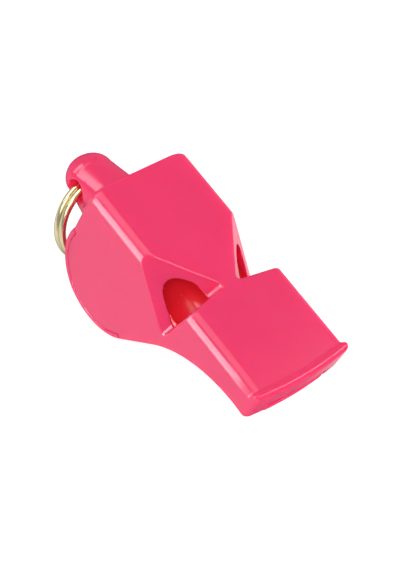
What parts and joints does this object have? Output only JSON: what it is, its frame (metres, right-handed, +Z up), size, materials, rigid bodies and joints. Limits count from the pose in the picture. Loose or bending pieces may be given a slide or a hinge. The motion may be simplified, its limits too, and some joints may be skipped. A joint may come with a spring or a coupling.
{
  "type": "sports whistle",
  "caption": "Pealess sports whistle with a round belly, notched side windows, a flat flared mouthpiece with a bite lip, and a split ring swinging in its rear lug.",
  "frame": {"origin": "middle of the flat top face, halfway between the rear edge of the body and the tip of the mouthpiece", "axes": "+X from the lug towards the mouth end, +Y across the whistle, +Z up, out of the flat top face"},
  "size_m": [0.0575, 0.02, 0.0277],
  "materials": {
    "housing": "smooth pink moulding with a soft gloss",
    "core": "smooth deep pink moulding",
    "cover": "smooth pink moulding with a soft gloss",
    "ring": "bright pale gold plating"
  },
  "bodies": {
    "whistle": {"main_body": "housing", "chamber_core": "core", "lower_cover": "cover"},
    "ring": {"split_ring": "ring"}
  },
  "joints": [
    {"name": "ring_swing", "type": "hinge", "parent": "whistle", "child": "ring", "pos_m": [-0.02995, 0, -0.013], "axis": [0, 1, 0], "range_deg": [-10, 228]}
  ]
}
